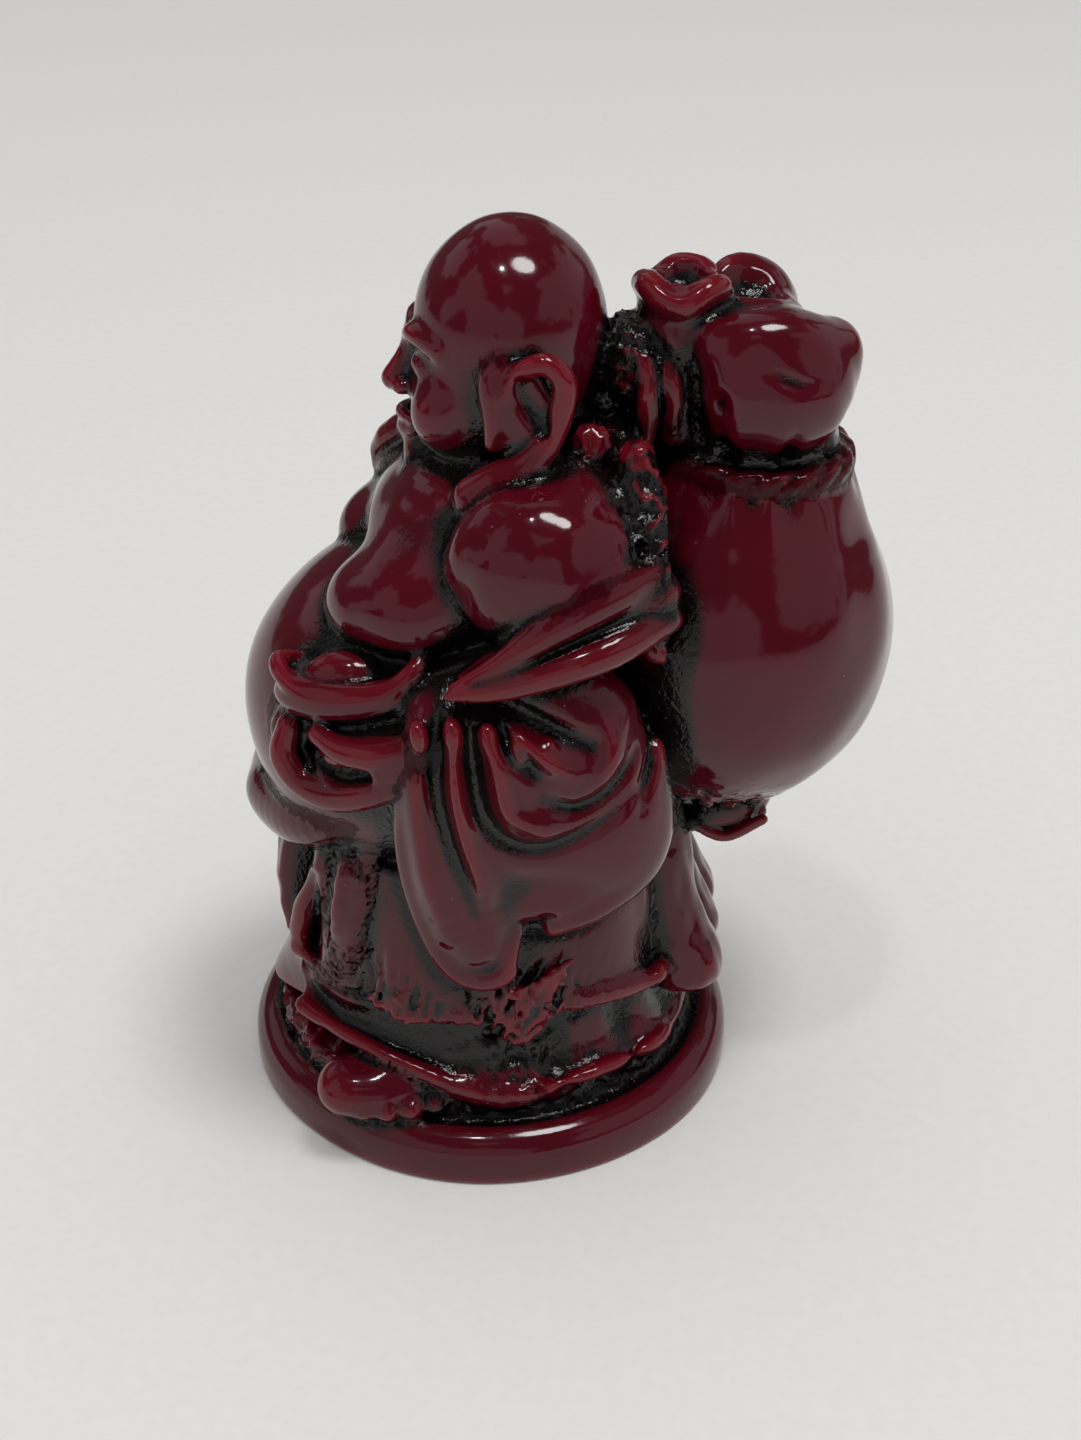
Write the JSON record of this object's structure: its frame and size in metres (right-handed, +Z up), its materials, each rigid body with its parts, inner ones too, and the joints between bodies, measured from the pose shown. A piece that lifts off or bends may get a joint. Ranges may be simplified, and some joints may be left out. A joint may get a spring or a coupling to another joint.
{
  "type": "monk figurine",
  "caption": "Glossy dark red cast-resin figurine of a standing, big-bellied monk with a tied sack on his back and an ingot in his hand, on a round plinth.",
  "frame": {"origin": "centre of the plinth's flat underside", "axes": "+Z up, the monk faces -Y, +X is his left"},
  "size_m": [0.0407, 0.0511, 0.0707],
  "materials": {
    "base_resin": "glossy dark red lacquer over cast resin, with a black wash in the recesses",
    "body_resin": "glossy dark red lacquer over cast resin, with a black wash in the recesses",
    "ingot_resin": "glossy dark red lacquer over cast resin, with a black wash in the recesses",
    "robe_resin": "glossy dark red lacquer over cast resin, with a black wash in the recesses",
    "sack_resin": "glossy dark red lacquer over cast resin, with a black wash in the recesses"
  },
  "bodies": {
    "root": {"belly": "body_resin", "chest": "body_resin", "collar_left": "robe_resin", "collar_right": "robe_resin", "ear_left": "body_resin", "ear_right": "body_resin", "flap_left": "robe_resin", "flap_right": "robe_resin", "forearm_right": "body_resin", "ground": "base_resin", "hand_left": "body_resin", "hand_right": "body_resin", "head": "body_resin", "ingot": "ingot_resin", "nape_collar": "robe_resin", "over_robe": "robe_resin", "plinth": "base_resin", "rear_drape": "robe_resin", "sack": "sack_resin", "sack_foot": "sack_resin", "sack_mouth": "sack_resin", "sack_tie": "sack_resin", "shoe_left": "robe_resin", "shoe_right": "robe_resin", "shoulder_left": "body_resin", "shoulder_right": "body_resin", "sleeve_left": "robe_resin", "sleeve_right": "robe_resin", "under_robe": "robe_resin", "waist_roll": "robe_resin"}
  },
  "joints": []
}
